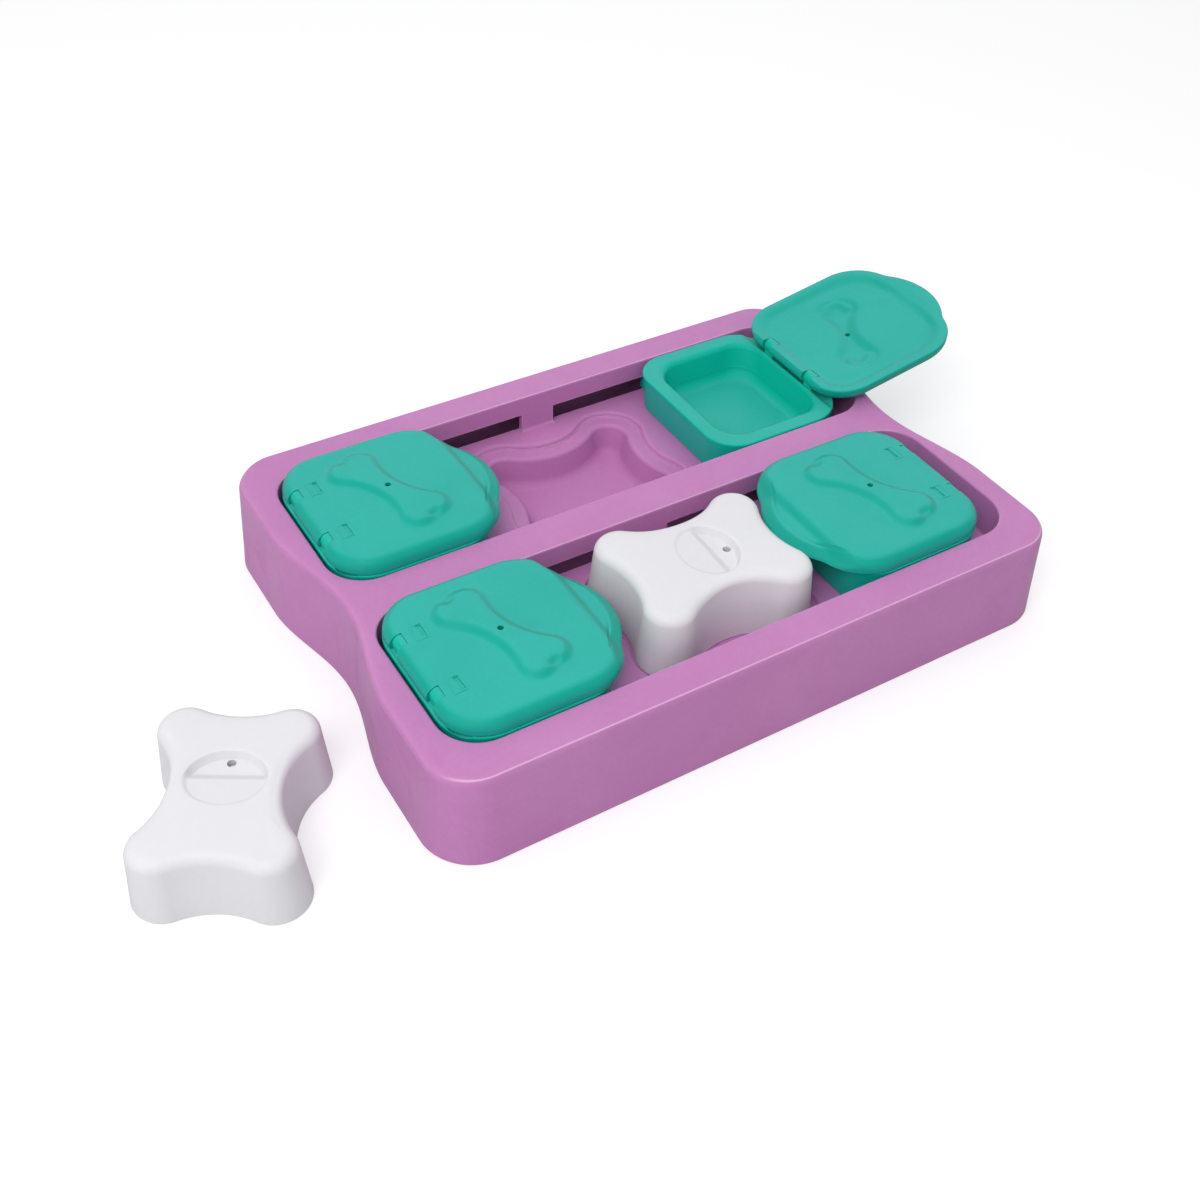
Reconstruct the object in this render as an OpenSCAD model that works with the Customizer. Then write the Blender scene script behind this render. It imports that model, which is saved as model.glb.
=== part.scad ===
// Sliding and lifting puzzle feeder: a two-channel moulded tray, four sliding
// cups with hinged lids and two lift-out bone blocks.
// Millimetres, +Z up. The origin is the middle of the face that the tray
// stands on; the long side lies along X and the front faces -Y.

/* [Tray] */
// Width of the deck between a channel's end and a lobe's tip
end_deck = 17.5; // [16:0.5:26]
// Width of the deck beside a channel, out to the tray's foot
side_deck = 21.5; // [18:0.5:30]
// Height of the tray's deck
tray_h = 51; // [49:0.5:56]
// Plan radius of the tray's corners
tray_r = 26; // [22:1:34]
// How far each end is waisted in at its middle
end_pinch = 11; // [6:0.5:12]
// Half length of the waist along an end
end_span = 62; // [50:1:70]
// Inward lean of the side walls over the full height
tray_draft = 3.4; // [2:0.2:5]
// Thickness of the moulded walls, deck and floors
wall = 2.6; // [2:0.2:3.2]

/* [Channels] */
// Room in a channel between its two outermost cups
bone_room = 141.6; // [128:0.2:160]
// Width of each channel at the deck
channel_w = 93; // [92:0.5:96]
// Plan radius of the channel corners
channel_r = 20; // [16:1:24]
// Width of the rib between the two channels
rib_w = 21; // [19:0.5:26]
// Height of the channel floor
floor_z = 29.5; // [28:0.5:31]
// Inward lean of the channel walls over their height
channel_draft = 0.7; // [0.4:0.1:1]
// Height of the slots that hold the cups down
slot_h = 7.4; // [7:0.2:9]
// Length of the solid stop between two slots
divider_l = 19.4; // [16:0.2:24]

/* [Bone pocket] */
// Depth of the ledge that a bone block stands on
ledge_d = 3; // [2:0.5:4]
// Gap round a bone block on its ledge
pocket_gap = 3.2; // [2.6:0.2:4]
// Width of the ledge
ledge_w = 8.4; // [7:0.2:9]
// Height of the pocket's floor
pocket_z = 11; // [8:0.5:16]

/* [Bone blocks] */
// Length of a bone block over its lobes
bone_l = 93.6; // [88:0.2:95]
// Width of a bone block over its lobes
bone_w = 75; // [72:0.5:76]
// Height of a bone block at its rim
bone_h = 34.4; // [30:0.2:38]
// Radius of the four lobes
lobe_r = 15; // [13:0.5:17]
// Depth of the waist in each long side
waist_long = 11; // [9:0.5:12]
// Depth of the waist in each short side
waist_short = 5; // [3:0.5:6]
// Inward lean of the block's sides
bone_draft = 2.9; // [1.5:0.1:4]
// Radius of the block's top edge
bone_edge = 5; // [4:0.5:6]
// Rise of the crowned top over the rim
bone_crown = 0.5; // [0.3:0.1:0.8]
// Wall thickness of the hollow block
bone_wall = 2.6; // [2:0.2:3]
// Turn of the seated block in its pocket
seated_turn = -2; // [-2:0.5:2]
// Where the seated block stands in its pocket, from the pocket's middle
seated_at = [-1.6, 0.4];
// Where the loose block stands beside the tray
loose_at = [-238.8, -56.1];
// Turn of the loose block
loose_turn = 59.3; // [50:0.1:70]

/* [Finger dish of the bone blocks] */
// Length of the oval dish across the block
dish_l = 34; // [30:1:35]
// Width of the oval dish along the block
dish_w = 29; // [26:1:32]
// Depth of the dish's shallow half at its crease
dish_d = 1.4; // [0.8:0.1:2]
// Depth of the dish's deep half
dish_deep = 4.4; // [3:0.1:5]
// Diameter of the vent holes in blocks and lids
vent_d = 3; // [2:0.2:4]

/* [Cups] */
// Length of a cup along the channel
cup_l = 83; // [80:0.5:84]
// Width of the sliding gap beside a cup at the deck
cup_gap = 0.6; // [0.4:0.1:0.8]
// How much less a cup's corner radius is than the channel's
corner_step = 1.5; // [1:0.1:2]
// Inward lean of the cup's outside
cup_draft = 2.4; // [1.6:0.1:3]
// Width of the flat rim round the cup's opening
rim_w = 8; // [7.6:0.2:9]
// Thickness of the cup's walls
cup_wall = 2.2; // [1.8:0.1:2.4]
// Gap left between an outermost cup and the channel's end
end_gap = 1.2; // [1:0.1:2]
// Gap between the seated bone block and the nose of the lid to its right
nose_gap = 2.1; // [1:0.1:6]
// Length of each guide lug on a cup
lug_l = 14; // [10:1:18]
// Reach of the guide lugs past the channel wall's inner face
lug_reach = 4.8; // [4:0.2:6]

/* [Lids] */
// Reach of a lid's nose past its cup
lid_over = 18.6; // [16:0.2:20]
// Height of the lid's top over the cup's rim
lid_h = 8; // [7:0.2:8.4]
// Radius of the lid's corners at the hinge
lid_r = 22; // [16:0.5:24]
// Radius of the lid's nose
nose_r = 32; // [28:1:36]
// Radius of the hollow between the nose and a shoulder
neck_r = 12; // [8:1:16]
// Radius of the lid's shoulders
shoulder_r = 21; // [16:1:23]
// Length of the sloping thumb lip at the nose
lip_l = 13; // [10:0.5:16]
// Width of the soft edge round the lid's top
lid_edge = 5.6; // [4:0.2:6]
// Rise of the lid's top from its soft edge to its middle
lid_crown = 1.2; // [0.6:0.2:1.4]
// Thickness of the lid's plate at its edge
plate = 5.4; // [4:0.2:6]
// Opening angle at which a lid meets its stop
lid_open = 170; // [160:1:172]
// Length of the raised bone on a lid
emboss_l = 67; // [60:1:70]
// Width of the raised bone over its knobs
emboss_w = 30; // [27:0.5:32]
// Height of the raised bone
emboss_h = 2; // [1.2:0.1:2.4]
// Distance of the raised bone's middle from the lid's hinge end
emboss_at = 44.3; // [42:0.1:50]
// Turn of the raised bone from the cross direction
emboss_turn = 22; // [15:1:28]

/* [Hinge] */
// Radius of the heel that the lid turns on
heel_r = 5.4; // [5:0.1:5.6]
// Height of the hinge axis over the cup's rim
axis_h = 4.2; // [4:0.1:4.4]
// Half the distance between the two hinge ears
ear_y = 18; // [14:1:26]
// Width of a hinge ear
ear_w = 7; // [5:0.5:9]
// Radius of a hinge ear
ear_r = 3; // [2.6:0.1:3.2]
// Radius of the hinge pins
pin_r = 1.3; // [1.1:0.1:1.4]
// Radial play of the pins in their ears
pin_play = 0.08; // [0.05:0.01:0.1]

/* [Hidden] */
eps = 0.01;
over = 1;
tray_color = [0.70, 0.45, 0.67];
teal_color = [0.16, 0.66, 0.58];
bone_color = [0.95, 0.95, 0.96];

channel_l = 2 * (cup_l + end_gap) + bone_room;
channel_y = (rib_w + channel_w) / 2;
tray_l = channel_l + 2 * end_deck;
tray_w = 2 * (channel_y + channel_w / 2 + side_deck);
ledge_z = floor_z - ledge_d;
end_turn = 171;
end_fillet = 5;
side_fillet = 2.2;
fillet_h = 4;
web = 2;
web_x = [82, 132];
foot_r = 7;
dish_x = 2;

cup_w = channel_w - 2 * cup_gap;
cup_r = channel_r - corner_step;
left_x = end_gap - channel_l / 2;
lid_l = cup_l + lid_over;
right_x = seated_at.x + bone_l / 2 - waist_short - bone_draft * (tray_h - ledge_z) / bone_h + nose_gap + lid_l;
rim_z = tray_h;
cavity_l = cup_l - 2 * rim_w;
cavity_w = cup_w - 2 * rim_w;
cavity_z = floor_z + 0.5 + cup_wall;
rim_under = rim_z - 4;
lug_h = slot_h - 1.6;
lug_y = channel_w / 2 + lug_reach;
slot_run = 8;
lug_in = channel_r - slot_run - end_gap + 0.8;

heel_gap = 0.2;
lid_w = cup_w - 0.6;
lid_z = rim_z + lid_h;
axis_u = heel_gap + heel_r;
axis_z = rim_z + axis_h;
ear_play = 0.5;
stop_z = axis_z - (lid_h - axis_h) * cos(180 - lid_open) + 2.7 * sin(180 - lid_open) - 0.05;
solid_u = 11;
window_u = 14.7;
window_w = 8.2;
frame_u = 10.4;
knob_r = 9;
knob_waist = 5.8;
knob_end = 2.2;

// ---------------------------------------------------------------- outlines

// Points of an arc round c, from angle a to angle b in k steps
function arc(c, rx, ry, a, b, k) =
    [for (i = [0:k]) let (t = a + (b - a) * i / k) [c.x + rx * cos(t), c.y + ry * sin(t)]];

// Rounded rectangle, counter-clockwise
function rrect(l, w, r, k = 6) = [
    for (q = [0:3])
        let (sx = (q == 0 || q == 3) ? 1 : -1, sy = q < 2 ? 1 : -1)
        each arc([sx * (l / 2 - r), sy * (w / 2 - r)], r, r, 90 * q, 90 * q + 90, k)
];

// Tray outline, set in by ix at the ends and iy at the sides
function tray_outline(ix, iy) =
    let (cx = tray_l / 2 - tray_r, cy = tray_w / 2 - tray_r, rx = tray_r - ix, ry = tray_r - iy)
    [for (s = [1, -1]) each concat(
        [for (j = [-8:8])
            let (x = tray_l / 2 - ix - end_pinch * (1 + cos(end_turn * j / 8)) / 2)
            [s * x, s * end_span * j / 8]],
        arc([s * cx, s * cy], rx, ry, s > 0 ? 0 : 180, s > 0 ? 90 : 270, 7),
        arc([-s * cx, s * cy], rx, ry, s > 0 ? 90 : 270, s > 0 ? 180 : 360, 7))];

// One quarter of a four-lobed outline: half of the short side's waist, a lobe
// and half of the long side's waist, as three tangent arcs
function lobe_quarter(a, b, r, wl, ws) =
    let (cs = b - r, ds = r - ws, rs = (cs * cs + ds * ds - r * r) / (2 * ws),
         cl = a - r, dl = r - wl, rl = (cl * cl + dl * dl - r * r) / (2 * wl),
         ts = atan2(cs, rs + ds), tl = atan2(cl, rl + dl))
    concat(arc([a - ws + rs, 0], rs, rs, 180, 180 - ts, 3),
           [for (p = arc([cl, cs], r, r, -ts, 90 + tl, 8)) p],
           arc([0, b - wl + rl], rl, rl, -90 + tl, -90, 4));

// The whole four-lobed outline of length l and width w, set in by i
function lobed(l, w, r, wl, ws, i = 0) =
    let (q = lobe_quarter(l / 2 - i, w / 2 - i, r - i, wl, ws), n = len(q) - 1)
    concat([for (k = [0:n]) if (k != 3 && k != 12) q[k]],
           [for (k = [n - 1:-1:0]) if (k != 3 && k != 12) [-q[k].x, q[k].y]],
           [for (k = [1:n]) if (k != 3 && k != 12) [-q[k].x, -q[k].y]],
           [for (k = [n - 1:-1:1]) if (k != 3 && k != 12) [q[k].x, -q[k].y]]);

// Outline of a bone block set in by i
function bone_outline(i) = lobed(bone_l, bone_w, lobe_r, waist_long, waist_short, i);

// Half of a lid's outline: nose, neck, shoulder and heel corner as tangent
// arcs, set in by i at the sides and by n at the nose
function lid_half(i, n) =
    let (h = lid_w / 2 - i, r = lid_r - i, sr = shoulder_r - i / 2, nr = nose_r - n / 2, kr = neck_r + n / 2,
         s = [lid_l - shoulder_r - 12 - n * 0.35, h - sr], c = [lid_l - n - nr, 0],
         d = s - c, g = norm(d), t = acos(((nr + kr) * (nr + kr) + g * g - (sr + kr) * (sr + kr)) / 2 / g / (nr + kr)),
         a = atan2(d.y, d.x) - t, k = c + (nr + kr) * [cos(a), sin(a)], b = (atan2(s.y - k.y, s.x - k.x) + 360) % 360)
    concat(arc(c, nr, nr, 0, a, 4),
           [for (j = [1, 2]) let (u = a + 180 + (b - a - 180) * j / 3) k + kr * [cos(u), sin(u)]],
           arc(s, sr, sr, b - 180, 90, 4), arc([heel_gap + i + r, h - r], r, r, 90, 180, 4));

function lid_outline(i, n) =
    let (p = lid_half(i, n), k = len(p) - 1)
    concat(p, [for (j = [k:-1:1]) [p[j].x, -p[j].y]]);

// ------------------------------------------------------------------- forms

// Lifts an outline to height z
function level(p, z) = [for (q = p) [q.x, q.y, z]];

// Mean of a list of points
function middle(p) = [for (q = p) 1 / len(p)] * p;

// Closed skin through a stack of outlines that have the same number of points;
// each end is closed with a fan round its middle
module loft(rings) {
    n = len(rings[0]);
    m = len(rings);
    sides = [
        for (j = [0:m - 2], i = [0:n - 1])
            let (a = j * n + i, b = j * n + (i + 1) % n)
            each [[a, a + n, b + n], [a, b + n, b]]
    ];
    bottom = [for (i = [0:n - 1]) [i, (i + 1) % n, m * n]];
    top = [for (i = [0:n - 1]) [(m - 1) * n + (i + 1) % n, (m - 1) * n + i, m * n + 1]];
    polyhedron(concat([for (r = rings) each r], [middle(rings[0]), middle(rings[m - 1])]),
               concat(sides, bottom, top));
}

module rod(r, l) {
    rotate([90, 0, 0]) cylinder(r = r, h = l, center = true, $fn = 40);
}

module both_sides() {
    for (s = [-1, 1]) translate([0, s * channel_y, 0]) children();
}

// -------------------------------------------------------------------- tray

module tray_skin() {
    top_z = tray_h - fillet_h;
    lean = tray_draft * top_z / tray_h;
    loft(concat(
        [level(tray_outline(1, 1), 0), level(tray_outline(0.1, 0.1), 1)],
        [for (t = [0, 25, 50, 70, 90])
            level(tray_outline(lean + end_fillet * (1 - cos(t)), lean + side_fillet * (1 - cos(t))),
                  top_z + fillet_h * sin(t))]));
}

module tray_inside() {
    inset = wall + tray_draft;
    loft([level(tray_outline(wall, wall), -over),
          level(tray_outline(inset + 1.5, inset), tray_h - fillet_h - wall),
          level(tray_outline(inset + 1.8, inset + 0.6), tray_h - wall)]);
}

module channel_space() {
    loft([for (t = [[floor_z, channel_draft], [tray_h + eps, 0]])
        level(rrect(channel_l - 2 * t.y, channel_w - 2 * t.y, channel_r - t.y), t.x)]);
}

module pocket_space() {
    edge = pocket_gap - ledge_w;
    loft([level(bone_outline(-pocket_gap + 0.4), ledge_z), level(bone_outline(-pocket_gap), floor_z + eps)]);
    loft([level(bone_outline(-edge + 5.4), pocket_z), level(bone_outline(-edge + 3), pocket_z + 1.2),
          level(bone_outline(-edge), ledge_z + eps)]);
}

// The channel's own walls and floor, and the walls of its pocket
module trough() {
    translate([0, 0, floor_z - wall])
        linear_extrude(tray_h) polygon(rrect(channel_l + 2 * wall, channel_w + 2 * wall, channel_r + wall));
    translate([0, 0, ledge_z - wall])
        linear_extrude(wall + ledge_d) polygon(bone_outline(-pocket_gap - wall));
    translate([0, 0, pocket_z - wall])
        linear_extrude(floor_z - pocket_z) polygon(bone_outline(-pocket_gap + ledge_w - wall));
}

module slots() {
    slot_l = channel_l / 2 - channel_r - divider_l / 2 + slot_run;
    for (s = [-1, 1], e = [-1, 1])
        translate([s * (divider_l / 2 + slot_l / 2), e * (channel_w / 2 - 1), floor_z + slot_h / 2])
            cube([slot_l, 2 * wall + 4, slot_h], center = true);
}

module webs() {
    translate([-tray_l / 2, -web / 2, 0]) cube([tray_l, web, tray_h]);
    for (s = [-1, 1], x = web_x)
        translate([s * x - web / 2, -tray_w / 2, 1]) cube([web, tray_w, floor_z - 1]);
    cylinder(r = foot_r, h = tray_h, $fn = 48);
}

module tray() {
    color(tray_color) difference() {
        tray_skin();
        difference() {
            tray_inside();
            both_sides() trough();
            webs();
        }
        both_sides() {
            channel_space();
            pocket_space();
            slots();
        }
    }
}

// -------------------------------------------------------- cups and their lids

// A cup's outline set in by i, with its outer end at x = 0
function cup_ring(i, z) =
    [for (p = rrect(cup_l - 2 * i, cup_w - 2 * i, cup_r - i, 5)) [p.x + cup_l / 2, p.y, z]];

// The bowl's outline, set in by i from the rim's inner edge
function bowl_ring(i, z) =
    [for (p = rrect(cavity_l - 2 * i, cavity_w - 2 * i, 11, 5)) [p.x + cup_l / 2, p.y, z]];

module cup_shell() {
    lean = 0.9 * cup_draft;
    difference() {
        loft([cup_ring(cup_draft + 0.8, floor_z), cup_ring(lean, floor_z + 1.2),
              cup_ring(0.05, rim_z - 1), cup_ring(0.7, rim_z)]);
        loft([bowl_ring(7, cavity_z), bowl_ring(4.4, cavity_z + 1.2), bowl_ring(3, cavity_z + 4),
              bowl_ring(0.7, rim_z - 1), bowl_ring(0, rim_z + eps)]);
        difference() {
            loft([cup_ring(cup_draft + cup_wall, floor_z - over), cup_ring(cup_wall + 0.3, rim_under)]);
            loft([bowl_ring(4.6 - cup_wall, floor_z - over), bowl_ring(3 - cup_wall, cavity_z + 3),
                  bowl_ring(1 - cup_wall, rim_under + over)]);
        }
    }
}

module lugs() {
    for (s = [-1, 1], x = [lug_in, cup_l - lug_in - lug_l])
        translate([x, s > 0 ? 0 : -lug_y, floor_z + 0.6])
            translate([0, s > 0 ? cup_w / 2 - cup_draft - cup_wall + 0.4 : 0, 0])
                cube([lug_l, lug_y - cup_w / 2 + cup_draft + cup_wall - 0.4, lug_h]);
}

module ears() {
    low = rim_under + over;
    for (s = [-1, 1]) translate([0, s * ear_y, 0]) intersection() {
        union() {
            translate([axis_u, 0, axis_z]) rod(ear_r, ear_w);
            translate([axis_u - ear_r, -ear_w / 2, low]) cube([2 * ear_r, ear_w, axis_z - low]);
            translate([1, -ear_w / 2, low]) cube([axis_u - 1, ear_w, stop_z - low]);
        }
        translate([0, -ear_w / 2, low]) cube([2 * axis_u, ear_w, lid_z - low]);
    }
}

module cup() {
    difference() {
        union() {
            difference() {
                cup_shell();
                translate([axis_u, 0, axis_z]) rod(heel_r + 0.4, lid_w + 0.6);
            }
            ears();
        }
        translate([axis_u, 0, axis_z]) rod(pin_r + pin_play, 2 * ear_y + 2 * ear_w);
    }
    lugs();
}

// The lid's outside: a flat top with a soft edge that runs out into the lip
module lid_skin() {
    low = rim_z + lid_h - lid_edge;
    loft(concat(
        [level(lid_outline(0.6, 1), rim_z), level(lid_outline(0, 0), rim_z + 0.8)],
        [for (t = [0, 30, 60, 90])
            level(lid_outline(lid_edge * (1 - cos(t)) + 0.2, 0.4 + lip_l * (1 - cos(t))),
                  low + lid_edge * sin(t))],
        [[for (p = lid_outline(lid_edge, lip_l)) [emboss_at + (p.x - emboss_at) / 2, p.y / 2, lid_z + lid_crown]]]));
}

module lid_recess() {
    deep = lid_z - plate;
    difference() {
        loft([level(lid_outline(2.4, lip_l - 1), rim_z - over), level(lid_outline(3, lip_l), deep)]);
        translate([-over, -lid_w / 2, rim_z - 2 * over]) cube([solid_u + over, lid_w, lid_h + 2 * over]);
    }
}

module on_lid() {
    translate([emboss_at, 0, 0]) rotate(90 + emboss_turn) children();
}

// Outline of the raised bone set in by i
function emboss_outline(i) = lobed(emboss_l, emboss_w, knob_r, knob_waist, knob_end, i);

module raised_bone() {
    low = lid_z - 0.4;
    high = lid_z + lid_crown + emboss_h;
    soft = 0.3;
    on_lid() {
        loft([level(emboss_outline(0), low), level(emboss_outline(1.2), high - 1), level(emboss_outline(3), high - soft)]);
        translate([0, 0, high - 2 * soft]) linear_extrude(2 * soft) polygon(emboss_outline(3.4));
    }
}

module bone_hollow() {
    on_lid() translate([0, 0, lid_z - plate - eps]) linear_extrude(emboss_h) polygon(emboss_outline(4));
}

// C-shaped frame round the blind mould window beside each hinge ear
module window_frame() {
    high = 0.9;
    for (s = [-1, 1]) translate([frame_u, s * ear_y, lid_z - eps]) {
        translate([0, -window_w / 2 - 1, 0]) cube([1, window_w + 2, high]);
        for (e = [-1, 1]) translate([0, e * (window_w / 2 + 0.5) - 0.5, 0]) cube([window_u - frame_u + 1, 1, high]);
    }
}

module lid() {
    notch_l = axis_u + ear_r + 0.6;
    difference() {
        union() {
            difference() {
                lid_skin();
                lid_recess();
            }
            raised_bone();
            window_frame();
        }
        bone_hollow();
        on_lid() translate([0, 0, rim_z]) cylinder(d = vent_d, h = 2 * lid_h, $fn = 32);
        difference() {
            translate([-over, -lid_w / 2, rim_z - over]) cube([axis_u + over, lid_w, lid_h + 2 * over]);
            translate([axis_u, 0, axis_z]) rod(heel_r, lid_w + 2);
        }
        for (s = [-1, 1]) {
            translate([-over, s * ear_y - ear_w / 2 - ear_play, rim_z - over])
                cube([notch_l + over, ear_w + 2 * ear_play, lid_h + 2 * over]);
            translate([window_u - 1.5, s * ear_y - window_w / 2, lid_z - 2.2]) cube([3, window_w, lid_h]);
        }
    }
    for (s = [-1, 1]) translate([axis_u, s * ear_y, axis_z]) rod(pin_r, ear_w + 2 * ear_play + 2);
}

// Stands a child in the left end of a channel
module left_end(y) {
    translate([left_x, y, 0]) children();
}

// Stands a child in the right half of a channel, turned to face the other way
module right_end(y) {
    translate([right_x, y, 0]) rotate(180) children();
}

module swing(a) {
    translate([axis_u, 0, axis_z]) rotate([0, -a, 0]) translate([-axis_u, 0, -axis_z]) children();
}

module back_left_cup() { color(teal_color) left_end(channel_y) cup(); }
module back_left_lid() { color(teal_color) left_end(channel_y) lid(); }
module back_right_cup() { color(teal_color) right_end(channel_y) cup(); }
module back_right_lid() { color(teal_color) right_end(channel_y) swing(lid_open) lid(); }
module front_left_cup() { color(teal_color) left_end(-channel_y) cup(); }
module front_left_lid() { color(teal_color) left_end(-channel_y) lid(); }
module front_right_cup() { color(teal_color) right_end(-channel_y) cup(); }
module front_right_lid() { color(teal_color) right_end(-channel_y) lid(); }

// ------------------------------------------------------------- bone blocks

function oval(l, w) = [for (k = [0:27]) let (t = 360 * k / 28) [w / 2 * cos(t), l / 2 * sin(t)]];

module bone_skin() {
    low = bone_h - bone_edge;
    lean = bone_draft * low / bone_h;
    loft(concat(
        [level(bone_outline(0.6), 0), level(bone_outline(0), 0.8)],
        [for (t = [0, 30, 60, 85])
            level(bone_outline(lean + bone_edge * (1 - cos(t))), low + bone_edge * sin(t))],
        [level(bone_outline(lean + bone_edge + 1.5), bone_h + bone_crown)]));
}

module bone_inside() {
    difference() {
        loft([level(bone_outline(bone_wall), -over),
              level(bone_outline(bone_draft + bone_wall), bone_h - bone_edge),
              level(bone_outline(bone_draft + bone_wall + 5), bone_h - bone_wall)]);
        translate([dish_x, 0, bone_h + bone_crown - dish_deep - bone_wall]) linear_extrude(bone_h) intersection() {
            polygon(oval(dish_l + 4, dish_w + 4));
            translate([-2, -dish_l]) square([dish_w, 2 * dish_l]);
        }
    }
}

// Oval dish: a shallow half, and a deep half beyond a sloping crease
module dish() {
    top = bone_h + bone_crown;
    near = -dish_w / 2 - over;
    far = dish_w / 2 + over;
    section = [[near, over], [near, -dish_d / 4], [0.5, -dish_d], [4, -dish_deep], [far, -dish_deep], [far, over]];
    translate([dish_x, 0, 0]) intersection() {
        translate([0, 0, bone_h / 2]) linear_extrude(bone_h) polygon(oval(dish_l, dish_w));
        translate([0, 0, top]) rotate([90, 0, 0]) linear_extrude(2 * dish_l, center = true) polygon(section);
    }
}

module bone() {
    difference() {
        bone_skin();
        bone_inside();
        dish();
        translate([dish_x + dish_w / 2 - 4.6, 0, -over]) cylinder(d = vent_d, h = 2 * bone_h, $fn = 32);
    }
}

module seated_bone() {
    color(bone_color) translate([seated_at.x, seated_at.y - channel_y, ledge_z]) rotate(seated_turn) bone();
}

module loose_bone() {
    color(bone_color) translate(loose_at) rotate(loose_turn) bone();
}

tray();
back_left_cup();
back_left_lid();
back_right_cup();
back_right_lid();
front_left_cup();
front_left_lid();
front_right_cup();
front_right_lid();
seated_bone();
loose_bone();
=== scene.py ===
# %% [markdown]
# # A sliding and lifting puzzle feeder
#
# The toy is a purple tray with two channels, four teal cups that slide in them under hinged lids, and two
# white bone blocks that lift out. The solid model is loaded first and stays fixed: every surface made here is
# worked out in millimetres in its frame, and divided by 1000 when it becomes a mesh.

# %% Load the fixed frame and keep its size
import math

import bpy
import numpy as np
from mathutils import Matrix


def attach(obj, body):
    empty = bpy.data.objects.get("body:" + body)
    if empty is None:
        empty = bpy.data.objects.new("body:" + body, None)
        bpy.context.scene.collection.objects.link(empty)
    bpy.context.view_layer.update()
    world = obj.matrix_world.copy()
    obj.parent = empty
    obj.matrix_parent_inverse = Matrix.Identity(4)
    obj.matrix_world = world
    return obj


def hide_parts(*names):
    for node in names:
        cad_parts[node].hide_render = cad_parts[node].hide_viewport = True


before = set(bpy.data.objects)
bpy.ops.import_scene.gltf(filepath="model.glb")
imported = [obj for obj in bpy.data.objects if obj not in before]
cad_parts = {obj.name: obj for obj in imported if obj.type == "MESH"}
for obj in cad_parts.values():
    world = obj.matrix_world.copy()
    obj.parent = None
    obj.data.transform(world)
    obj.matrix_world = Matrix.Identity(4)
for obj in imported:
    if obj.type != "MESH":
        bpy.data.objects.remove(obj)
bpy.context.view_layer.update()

scene = bpy.context.scene

# %% [markdown]
# ## Camera
#
# The lens and place come from the tray's straight edges: two families of parallel edges give the view's
# turn and focal length, and the tray's width gives the distance. The camera is built from three unit rows,
# right, up and back, so that no rounding of angles creeps in.

# %% Set up the camera
from mathutils import Matrix, Vector

eye = (-0.321655, -0.457170, 0.502235)
right = (0.85318288, -0.52031704, 0.03673082)
up = (0.33225955, 0.59639998, 0.7306919)
back = (-0.40209771, -0.61120965, 0.68171856)

camera = bpy.data.objects.new("camera", bpy.data.cameras.new("camera"))
camera.data.lens = 43.335
camera.data.sensor_width = 36
camera.data.clip_start = 0.05
camera.matrix_world = Matrix([(right[i], up[i], back[i], eye[i]) for i in range(3)] + [(0, 0, 0, 1)])
scene.collection.objects.link(camera)
scene.camera = camera
print("lens, mm:", camera.data.lens)

# %% [markdown]
# ## Floor, lamps and world
#
# Moulded plastic shows its form by soft, wide light. The key lamp stands high at the front left, a low
# wide one on the left lifts the end walls, a weak one above the back keeps the far deck pale, and an even
# world fills the shadows. A satin face would mirror the lamps as square patches, so they are hidden from
# glossy rays. Those rays see another world instead, which is bright only at the back: a face that is seen
# at a slant gets its sheen from there, and a wall that faces the eye keeps its deep colour. The floor is
# near white, and what the camera sees of it is lifted to full white where no shadow falls.

# %% Make the floor
floor_half = 4
floor_mesh = bpy.data.meshes.new("floor")
corners = [(x * floor_half, y * floor_half, 0) for x, y in ((-1, -1), (1, -1), (1, 1), (-1, 1))]
floor_mesh.from_pydata(corners, [], [(0, 1, 2, 3)])
floor = bpy.data.objects.new("floor", floor_mesh)
scene.collection.objects.link(floor)


def seen_white(name, base, lift):
    """A matt material of colour base that gives off light of strength lift, which only the camera sees."""
    mat = bpy.data.materials.new(name)
    mat.use_nodes = True
    nodes, links = mat.node_tree.nodes, mat.node_tree.links
    surface = nodes["Principled BSDF"]
    surface.inputs["Base Color"].default_value = (*base, 1)
    surface.inputs["Roughness"].default_value = 1
    surface.inputs["Specular IOR Level"].default_value = 0
    surface.inputs["Emission Color"].default_value = (1, 1, 1, 1)
    path = nodes.new("ShaderNodeLightPath")
    amount = nodes.new("ShaderNodeMath")
    amount.operation = "MULTIPLY"
    amount.inputs[1].default_value = lift
    links.new(path.outputs["Is Camera Ray"], amount.inputs[0])
    links.new(amount.outputs[0], surface.inputs["Emission Strength"])
    return mat


floor_mesh.materials.append(seen_white("pale_floor", (0.58, 0.58, 0.59), 0.48))
print("floor, m:", 2 * floor_half)

# %% Hang the lamps
def lamp(name, place, size, power):
    """A square area lamp at place that faces the origin, and that glossy rays don't see."""
    data = bpy.data.lights.new(name, "AREA")
    data.size, data.energy = size, power
    obj = bpy.data.objects.new(name, data)
    obj.location = place
    obj.rotation_mode = "QUATERNION"
    obj.rotation_quaternion = (-Vector(place)).to_track_quat("-Z", "Y")
    obj.visible_glossy = False
    scene.collection.objects.link(obj)
    return obj


lamps = [lamp("key", (-0.80, -0.62, 1.35), 0.8, 11.5),
         lamp("side", (-1.50, -0.50, 0.50), 1.0, 3.0),
         lamp("top", (0.20, 0.40, 1.50), 1.0, 3.6)]
print("lamps, W:", [obj.data.energy for obj in lamps])

# %% Light the air: one world to light by, one to mirror, one to see
front = (-0.55, -0.83, 0.0)
even_strength, mirror_strength = 0.60, 1.05

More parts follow.
